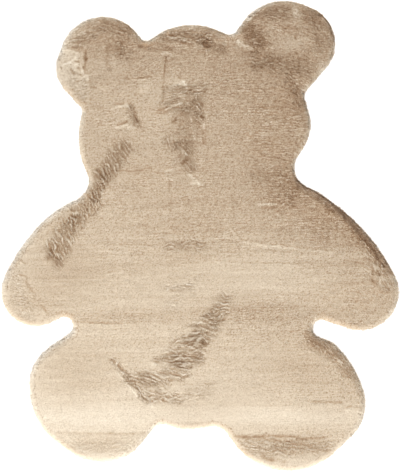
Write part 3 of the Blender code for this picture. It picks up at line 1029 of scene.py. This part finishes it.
# %% How the pile lies at a place
HEADING = math.radians(-108)  # the way the pile leans: to the feet and a little to the left
LEAN = math.radians(52)
LENGTH = 7.0 * MM
RIM_LENGTH = 10.3 * MM
TUFT_ACROSS = 6.0 * MM
TUFT_ALONG = 2.6 * MM
WANDER = math.radians(16)  # of the heading, over a hand's breadth
ROUGH_WANDER = 0.3  # in a brush mark, over a finger's breadth
TUFT_LEAN = 0.06
LIFT_MEAN = 0.6  # the share of a mark's lift that its tufts show, and how much that strays
LIFT_STRAY = 0.2
RIM_SWING = 0.35  # how far the rim's hairs swing outwards
RIM_SWING_FACING = 0.65  # and how much further where the pile already leans that way
SKIRT_ABOVE = 0.7  # the rim's lowest hairs lean outwards all round
SKIRT_SWING = 1.5
RIM_SHORTER = 0.15
FAR_WALL_SHORTER = 0.35
RIM_LOOSER = 0.7  # how much less the tips are drawn together at the rim's foot


class Share(NamedTuple):
    """How strong something is on the calm top, and what a brush mark and the rim's foot add."""

    calm: float
    in_mark: float
    at_rim: float

    def at(self, rough, rim):
        """The three parts, added up for each place."""
        return self.calm + self.in_mark * rough + self.at_rim * rim


TUFT_HEADING = Share(0.10, 0.10, 0.20)
TUFT_LENGTH = Share(0.07, 0.00, 0.10)
TUFT_PULL = Share(0.12, 0.10, 0.00)


def lie_at(x, y, out, rim):
    """Heading, lean, length and pull of the hair that is rooted at each place, and its tuft's dice.

    Hairs of one tuft stray together. Where the pile was brushed, they stray and lift more, and
    their tips are drawn together. rim is 0 on the top and 1 at the foot of the wall. There the
    heading swings outwards, most of all where the pile already leans that way.
    """
    tuft_x, tuft_y, tuft_i, tuft_j = seed_of(x, y, TUFT_ACROSS, TUFT_ALONG)
    lift, rough, _, _ = brushed(x, y)
    rough = np.clip(rough, 0, 1)
    tuft = dice[:, tuft_i, tuft_j] * 2 - 1

    heading = HEADING + WANDER * mottle(x, y, 90 * MM, 60 * MM, 6)
    heading = heading + ROUGH_WANDER * rough * mottle(x, y, 12 * MM, 12 * MM, 3)
    heading = heading + TUFT_HEADING.at(rough, rim) * tuft[2]
    nap = np.stack([np.cos(heading), np.sin(heading)], -1)
    facing = np.sum(nap * out, -1)
    averted = np.clip(-facing, 0, 1)
    skirt = np.clip((rim - SKIRT_ABOVE) / (1 - SKIRT_ABOVE), 0, 1)
    outwards = rim * (RIM_SWING + RIM_SWING_FACING * facing) + SKIRT_SWING * skirt * averted
    swing = np.clip(outwards, 0, 1)[:, None]
    blend = normalised(nap * (1 - swing) + out * swing)
    heading = np.arctan2(blend[:, 1], blend[:, 0])

    lean = LEAN - np.radians(lift) * (LIFT_MEAN + LIFT_STRAY * tuft[4]) + TUFT_LEAN * tuft[3]
    length = LENGTH + (RIM_LENGTH - LENGTH) * rim
    length = length * (1 + TUFT_LENGTH.at(rough, rim) * tuft[5])
    length = length * (1 - rim * (RIM_SHORTER + FAR_WALL_SHORTER * averted))

    to_tuft = np.stack([tuft_x - x, tuft_y - y], -1) * TUFT_PULL.at(rough, rim)[:, None]
    pull = np.column_stack([to_tuft, np.zeros(len(x))]) * (1 - RIM_LOOSER * rim)[:, None]
    return heading, lean, length, pull, tuft


# %% The gaps between the tufts, and the edge
PIT_ACROSS = 6.0 * MM
PIT_ALONG = 5.0 * MM
PIT_HALF_WIDTH = 1.5 * MM
PIT_HALF_HEIGHT = 1.0 * MM
PIT_SHARE = 0.5
PIT_MEAN = math.pi * PIT_HALF_WIDTH * PIT_HALF_HEIGHT * PIT_SHARE / (PIT_ACROSS * PIT_ALONG)
EDGE_FADE = 10 * MM
EDGE_TONES = (0.23, 0.20, 0.60, 0.55, 0.20, 0.02, 0.01, 0.18)  # E, NE, N, NW, W, SW, S, SE


def pits(x, y):
    """The painted shade in the gaps between tufts, less its mean: near 1 in the middle of one, just
    below 0 else.

    A share of the scattered seeds have one, a small bell, exp of minus the square, round the seed.
    """
    seed_x, seed_y, i, j = seed_of(x, y, PIT_ACROSS, PIT_ALONG)
    away = ((x - seed_x) / PIT_HALF_WIDTH) ** 2 + ((y - seed_y) / PIT_HALF_HEIGHT) ** 2
    return np.exp(-away) * (dice[6, i, j] < PIT_SHARE) - PIT_MEAN


def edge_tone(x, y):
    """What the edge adds to the tone, so that its far walls aren't lost in their own shade.

    It fades as exp of minus the square of the inset. Round the outline it runs straight from one
    compass point's value to the next.
    """
    inset, out = edge_of(x, y)
    compass = np.arctan2(out[:, 1], out[:, 0]) / (math.tau / len(EDGE_TONES))
    around = np.interp(compass, np.arange(len(EDGE_TONES)), EDGE_TONES, period=len(EDGE_TONES))
    return np.exp(-((inset / EDGE_FADE) ** 2)) * around


# %% How the pile's surface looks at a place
RIPPLE_LEAST = 0.03
RIPPLE_GAIN = 2.1
RIPPLE_BEND = 1.5  # how much faster than the tone the ripples fade
RIPPLE_GONE = 0.68  # the tone above which only the least ripple is left
RIPPLE_RELIEF = 0.4
# painted highlights on the ruffles' rims and painted shade in their hollows
RUFFLE_SHADING = 0.23  # what a ruffle of height 1 adds to the tone
PIT_SHADE_LEAST = 0.12
PIT_SHADE = 0.8  # times the strength of the ripples there
COMBED_LEAST = 0.016
COMBED_MOST = 0.022
COMBED_AT = -140  # the y, in millimetres, at which the level combing shows most
COMBED_HALF = 190
FOLD_GAIN = 1.1


def surface_at(x, y):
    """How far the tips stand out there, their tone with its painted light and shade, and how strong the
    ripples are.

    The first runs from about -1 in a hollow to 1 on a rim. The strength is the least one plus the
    gain times a power of how far the tone is below the one where ripples are gone.
    """
    _, rough, mark_tone, ruffles = brushed(x, y)
    small, gain = ripples(x, y)
    small = small * (1 - np.clip(rough, 0, 1))
    tone = tone_and_broad_shade(x, y) + mark_tone
    strength = gain * (RIPPLE_LEAST + RIPPLE_GAIN * np.clip(RIPPLE_GONE - tone, 0, 0.5) ** RIPPLE_BEND)
    # painted shade in the gaps between tufts, deeper where the pile is darker
    depth = PIT_SHADE_LEAST * gain + PIT_SHADE * strength
    # the ripples' and ruffles' rims and hollows are painted into the tone as highlights and shade
    tone = tone + strength * small - depth * pits(x, y) + RUFFLE_SHADING * ruffles
    combed = mottle(x, y, 170 * MM, 7.5 * MM, 3, 0.03) + mottle(x, y, 60 * MM, 3.4 * MM, 1)
    belt = COMBED_LEAST + COMBED_MOST * np.exp(-(((y / MM - COMBED_AT) / COMBED_HALF) ** 2))
    # the folds' painted highlights and shadows, and painted light on the rim's far walls
    tone = tone + FOLD_GAIN * folded(x, y) + belt * combed + edge_tone(x, y)
    return RIPPLE_RELIEF * small + ruffles, tone, strength


# %% One piece of pile
RELIEF = 0.9 * MM
KNEE_RELIEF = 0.7  # the knee's share of it
STRAY_HEADING = 0.12
STRAY_LEAN = 0.06
STRAY_LENGTH = 0.09
STRAY_ROLL = 0.30
STRAY_WIDTH = 0.15
OWN_TUFT = 0.18  # how far a tuft's own tone strays, as a share of the ripples' strength
OWN_HAIR = 0.15  # and a hair's
CALM_FROM = 0.46  # the tone from which the hairs lie more and more evenly
CALM_TO = 0.62
CALM_MOST = 0.6
BARE_ABOVE = 0.45  # the tone from which a hair's root shows less and less
BARE_GAIN = 3.0
BARE_MOST = 0.95
BARE_WALL = 2  # how fast the rim's hairs get bare going down the wall
BARE_AVERTED = 1.2
# a deep leaf sits lower on the map, in deeper painted root shade
DEEP = 0.20  # how far down the map a leaf in a brush mark is moved


def bareness(tone, rim, facing):
    """How bare each leaf is to the light, which lifts it out of the painted shade at its root: much in
    the light parts of the top, and on the rim where the pile leans in over it, where that lift is
    painted light on walls that stand in their own shade."""
    far_wall = np.clip(BARE_WALL * rim, 0, 1) * np.clip(-BARE_AVERTED * facing, 0, 1)
    light_top = (1 - rim) * np.clip(BARE_GAIN * (tone - BARE_ABOVE), 0, BARE_MOST)
    return np.minimum(far_wall + light_top, 1)


def grow(name, root, normal, out, rim, width):
    """One piece of pile on the given roots, each hair a little different from its neighbour."""
    stray = rng.normal(size=(5, len(root)))
    _, rough, mark_tone, _ = brushed(root[:, 0], root[:, 1])
    base = tone_and_broad_shade(root[:, 0], root[:, 1]) + mark_tone
    calm = 1 - CALM_MOST * np.clip((base - CALM_FROM) / (CALM_TO - CALM_FROM), 0, 1)
    heading, lean, length, pull, tuft = lie_at(root[:, 0], root[:, 1], out, rim)
    heading = heading + STRAY_HEADING * calm * stray[0]
    lean = lean + STRAY_LEAN * calm * stray[1]
    length = length * (1 + STRAY_LENGTH * calm * stray[2])
    knee, tip, side = carried(root, normal, heading, lean, length, pull)

    tip_relief, tip_tone, strength = surface_at(tip[:, 0], tip[:, 1])
    knee_relief, knee_tone, _ = surface_at(knee[:, 0], knee[:, 1])
    tip[:, 2] += RELIEF * tip_relief * (1 - rim)
    knee[:, 2] += RELIEF * KNEE_RELIEF * knee_relief * (1 - rim)

    facing = np.cos(heading) * out[:, 0] + np.sin(heading) * out[:, 1]
    bare = bareness((tip_tone + knee_tone) / 2, rim, facing)
    deep = DEEP * np.clip(rough, 0, 1)
    own = strength * (OWN_TUFT * tuft[6] + OWN_HAIR * stray[3])
    tones = np.stack([knee_tone, knee_tone, knee_tone, tip_tone], -1) + own[:, None]
    width = width * (1 + STRAY_WIDTH * np.clip(stray[3], -2, 2))
    roll = STRAY_ROLL * calm * stray[4]
    return new_piece(name, *leaves(root, knee, tip, side, width, roll, tones, bare, deep))


# %% Roots all over the top
HAIRS = 380_000
WIDTH = 1.65 * MM
SINK = 0.8 * MM  # how far below the ground's surface a hair is rooted
TOP_PIECES = ("soles", "legs", "waist", "chest", "head")


def top_roots():
    """Roots on a jittered grid, as dense as gives the wanted number, from the feet to the head."""
    spacing = math.sqrt((CUT_AREA - PERIMETER * RIM_INNER) / HAIRS)
    columns = np.arange(plush_low.x, plush_high.x, spacing)
    rows = np.arange(plush_low.y, plush_high.y, spacing)
    x, y = (a.ravel() for a in np.meshgrid(columns, rows))
    x = x + spacing * rng.uniform(-0.5, 0.5, x.shape)
    y = y + spacing * rng.uniform(-0.5, 0.5, y.shape)
    inset, out = edge_of(x, y)
    keep = inset > RIM_INNER
    return x[keep], y[keep], out[keep]


x, y, out = top_roots()
root = np.stack([x, y, GROUND_FOOT + ground_depth(x, y) - SINK], -1)
pile_pieces = []
for name, rows in zip(TOP_PIECES, np.array_split(np.arange(len(x)), len(TOP_PIECES))):
    count = len(rows)
    normal = np.broadcast_to(np.array([0.0, 0.0, 1.0]), (count, 3))
    made = grow(f"pile_{name}", root[rows], normal, out[rows], np.zeros(count), np.full(count, WIDTH))
    pile_pieces.append(made)

# %% Roots on the rounded rim
RIM_HAIRS = 70_000
RIM_WIDTH = 1.0 * MM


def rim_roots():
    """Roots spread over the rim: a random place along the outline and a random angle up its wall."""
    places, outs = walk_round(1 * MM)
    at = rng.uniform(0, len(places), RIM_HAIRS)
    near = at.astype(int)
    share = (at - near)[:, None]
    ahead = (near + 1) % len(places)
    place = places[near] * (1 - share) + places[ahead] * share
    out = normalised(outs[near] * (1 - share) + outs[ahead] * share)
    angle = rng.uniform(0.0, math.pi / 2, RIM_HAIRS)
    inset = RIM_OUTER + (RIM_INNER - RIM_OUTER) * (1 - np.cos(angle))
    flat = place - out * inset[:, None]
    z = GROUND_FOOT + ground_depth(flat[:, 0], flat[:, 1]) * np.sin(angle)
    outwards, upwards = np.cos(angle) * GROUND_DEPTH, np.sin(angle) * (RIM_INNER - RIM_OUTER)
    normal = normalised(np.column_stack([out * outwards[:, None], upwards]))
    return np.column_stack([flat, z]), normal, out, 1 - angle / (math.pi / 2)


root, normal, out, rim = rim_roots()
rim_width = np.full(RIM_HAIRS, RIM_WIDTH)
pile_pieces.append(grow("pile_rim", root - normal * SINK, normal, out, rim, rim_width))

# %% [markdown]
# ## Finishes
#
# A finish could be wired up by hand in the shader editor, but a script should say it in words.
# Shader maths reads best as plain expressions, so a small class wraps a socket and turns operators
# into Math nodes, and another makes any node from its type, its settings and its sockets' values.


# %% Shader maths as expressions
NOISE_LOW = 0.30  # Blender's noise is seldom below this, or above the other
NOISE_HIGH = 0.70


class Wire:
    """A node's output. Operators on it add Math nodes to the same material."""

    def __init__(self, finish, socket):
        self.finish = finish
        self.socket = socket

    def __sub__(self, other):
        return self.finish.maths("SUBTRACT", self, other)

    def __rsub__(self, other):
        return self.finish.maths("SUBTRACT", other, self)

    def __mul__(self, other):
        return self.finish.maths("MULTIPLY", self, other)

    __rmul__ = __mul__


class Finish:
    """A material with one Principled BSDF, and the few ways of adding nodes to it."""

    def __init__(self, name, constants):
        self.material = bpy.data.materials.new(name)
        self.material.use_nodes = True
        self.tree = self.material.node_tree
        self.shader = self.tree.nodes["Principled BSDF"]
        for socket, value in constants.items():
            self.shader.inputs[socket].default_value = value

    def feed(self, socket, value):
        """Give a socket a wire or a plain value."""
        if isinstance(value, Wire):
            self.tree.links.new(value.socket, socket)
        else:
            socket.default_value = value

    def nodes(self, kind, settings=None, sockets=None):
        """Any node: its type, its settings, which are set first, and its sockets' values.

        Gives all its outputs.
        """
        made = self.tree.nodes.new(kind)
        for name, value in (settings or {}).items():
            if name == "stops":
                ramp = made.color_ramp
                while len(ramp.elements) < len(value):
                    ramp.elements.new(0.5)
                for element, (place, colour) in zip(ramp.elements, value):
                    element.position = place
                    element.color = (*colour, 1.0)
            else:
                setattr(made, name, value)
        for name, value in (sockets or {}).items():
            self.feed(made.inputs[name], value)
        return [Wire(self, socket) for socket in made.outputs]

    def node(self, kind, settings=None, sockets=None, output=0):
        """The same, for a node of which one output is wanted."""
        return self.nodes(kind, settings, sockets)[output]

    def maths(self, operation, first, second):
        """A Math node on two wires or values."""
        return self.node("ShaderNodeMath", {"operation": operation}, {0: first, 1: second})

    def ramp(self, factor, stops):
        """A colour that runs through the stops, each a place from 0 to 1 and a colour."""
        return self.node("ShaderNodeValToRGB", {"stops": stops}, {0: factor})

    def mix(self, factor, first, second, blend="MIX"):
        """Two colours mixed."""
        settings = {"data_type": "RGBA", "blend_type": blend}
        return self.node("ShaderNodeMix", settings, {0: factor, 6: first, 7: second}, output=2)

    def out(self, socket, value):
        """Feed one of the shader's own sockets."""
        self.feed(self.shader.inputs[socket], value)

    def mottled(self, noise, dark, light, strength, height):
        """Two colours mixed by a noise on Object coordinates, and the same noise as a bump.

        The factor is how far the noise has come from its low value to its high one.
        """
        place = self.node("ShaderNodeTexCoord", output=3)
        grain = self.node("ShaderNodeTexNoise", None, {"Vector": place, **noise})
        factor = (grain - NOISE_LOW) * (1 / (NOISE_HIGH - NOISE_LOW))
        self.out("Base Color", self.mix(factor, (*dark, 1), (*light, 1)))
        raised = {"Strength": strength, "Distance": height, "Height": grain}
        self.out("Normal", self.node("ShaderNodeBump", None, raised))


def dress(piece, finish):
    """Give a piece one finish."""
    piece.data.materials.clear()
    piece.data.materials.append(finish.material)


# %% [markdown]
# The map that each leaf carries already says it all: its u is how light the pile is there, painted
# light and shade included, and its v how far along the hair one is. A picture could hold the same,
# but the map stays sharp at any size. So the finish needs only two ramps, one for the tone from
# brown shadow to cream, and one that paints shade onto the hair towards its root. The ground only
# shows between the hairs, so a fine brown mottle, darker than the pile, is enough for it: it is
# painted shade between the hairs.

# %% The pile's finish
PLUSH = {
    "Roughness": 0.9,
    "Specular IOR Level": 0.2,
    "Sheen Weight": 0.2,
    "Sheen Roughness": 0.5,
    "Sheen Tint": (1.0, 0.92, 0.82, 1.0),
}
TONES = (
    (0.00, (0.245, 0.136, 0.068)),
    (0.30, (0.452, 0.316, 0.200)),
    (0.55, (0.626, 0.522, 0.394)),
    (0.80, (0.768, 0.686, 0.562)),
    (1.00, (0.864, 0.804, 0.712)),
)
# painted shade on each hair towards its root, where its neighbours shade it
ROOT_SHADE = (
    (0.00, (0.36, 0.26, 0.18)),
    (0.50, (0.70, 0.60, 0.50)),
    (0.90, (1.00, 1.00, 1.00)),
)
pile_finish = Finish("plush pile", PLUSH)
on_map = pile_finish.node("ShaderNodeUVMap", {"uv_map": "OFBake"})
tone, along, _ = pile_finish.nodes("ShaderNodeSeparateXYZ", None, {0: on_map})
tone_colour = pile_finish.ramp(tone, TONES)
root_shade_colour = pile_finish.ramp(along, ROOT_SHADE)
pile_finish.out("Base Color", pile_finish.mix(1.0, tone_colour, root_shade_colour, "MULTIPLY"))
for piece in pile_pieces:
    dress(piece, pile_finish)
print("pile finish:", len(TONES), "tones,", len(pile_pieces), "pieces")

# %% The ground's finish
# the ground's brown, darker than the pile, is painted shade between the hairs
ground_shade_finish = Finish("plush ground, painted shade", {"Roughness": 0.95, "Specular IOR Level": 0.1})
ground_shade_finish.mottled(
    noise={"Scale": 420.0, "Detail": 3.0},
    dark=(0.34, 0.23, 0.14),
    light=(0.56, 0.42, 0.29),
    strength=0.5,
    height=0.6 * MM,
)
dress(ground, ground_shade_finish)
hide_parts("plush_pile_cloth")
print("ground finish:", len(ground_shade_finish.tree.nodes), "nodes")

# %% [markdown]
# ## The felt
#
# The backing is a flat, grey-beige felt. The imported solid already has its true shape, so it stays
# and only gets its finish: short fibres lying every way, as fine noise in colour and bump.

# %% The felt's finish
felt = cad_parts["felt_backing"]
felt_finish = Finish("felt", {"Roughness": 0.92, "Specular IOR Level": 0.2})
felt_finish.mottled(
    noise={"Scale": 700.0, "Detail": 4.0, "Distortion": 2.0},
    dark=(0.22, 0.21, 0.18),
    light=(0.42, 0.40, 0.35),
    strength=0.4,
    height=0.3 * MM,
)
dress(felt, felt_finish)
print("felt finish:", len(felt_finish.tree.nodes), "nodes")

# %% [markdown]
# ## The sheets
#
# Both layers are flat cloth.

# %% [markdown]
# ## Floor, light and camera
#
# The photograph looks straight down at a rug on white. The light is broad and soft, and comes a
# little more from the bottom left. The camera stands 2.5 metres up, so that the rug's sides
# hardly show, and its lens takes in just the photograph's field.

# %% The floor
FLOOR_HALF = 4.0
floor_data = bpy.data.meshes.new("floor")
floor_corners = [(x * FLOOR_HALF, y * FLOOR_HALF, 0) for x, y in ((-1, -1), (1, -1), (1, 1), (-1, 1))]
floor_data.from_pydata(floor_corners, [], [(0, 1, 2, 3)])
floor = bpy.data.objects.new("floor", floor_data)
bpy.context.scene.collection.objects.link(floor)
floor_finish = Finish("floor", {"Roughness": 0.8, "Specular IOR Level": 0.2})
floor_finish.out("Base Color", (0.90, 0.90, 0.90, 1.0))
floor_data.materials.append(floor_finish.material)
print("floor:", 2 * FLOOR_HALF, "metres wide")


# %% Lights
def add_light(name, place, target, size, power):
    """A square area light at a place, turned to face a target."""
    lamp = bpy.data.lights.new(name, "AREA")
    lamp.size, lamp.energy = size, power
    holder = bpy.data.objects.new(name, lamp)
    holder.location = place
    holder.rotation_euler = (Vector(target) - Vector(place)).to_track_quat("-Z", "Y").to_euler()
    bpy.context.scene.collection.objects.link(holder)


add_light("key light", place=(-0.6, -1.9, 2.0), target=(0, -0.1, 0), size=1.6, power=80)
add_light("fill light", place=(0.3, 1.8, 2.2), target=(0, 0, 0), size=2.5, power=56)
SKY = 1.04
world = bpy.data.worlds.new("studio")
world.use_nodes = True
background = world.node_tree.nodes["Background"]
background.inputs["Color"].default_value = (1.0, 1.0, 1.0, 1.0)
background.inputs["Strength"].default_value = SKY
bpy.context.scene.world = world
bpy.context.scene.view_settings.view_transform = "Standard"
print("lights: key, fill and a white sky of strength", SKY)

# %% The camera
CAMERA_HEIGHT = 2.5
CAMERA_X = -0.5 * MM
CAMERA_Y = -0.6 * MM
REFERENCE_HEIGHT = 3 * MM
FIELD_HEIGHT = 1.0056  # what the photograph's long side takes in, at the reference height
camera = bpy.data.cameras.new("camera")
camera.sensor_width = 36.0
camera.lens = camera.sensor_width * CAMERA_HEIGHT / FIELD_HEIGHT
holder = bpy.data.objects.new("camera", camera)
holder.location = (CAMERA_X, CAMERA_Y, REFERENCE_HEIGHT + CAMERA_HEIGHT)
bpy.context.scene.collection.objects.link(holder)
bpy.context.scene.camera = holder
print(f"camera: a lens of {camera.lens:.1f} mm")
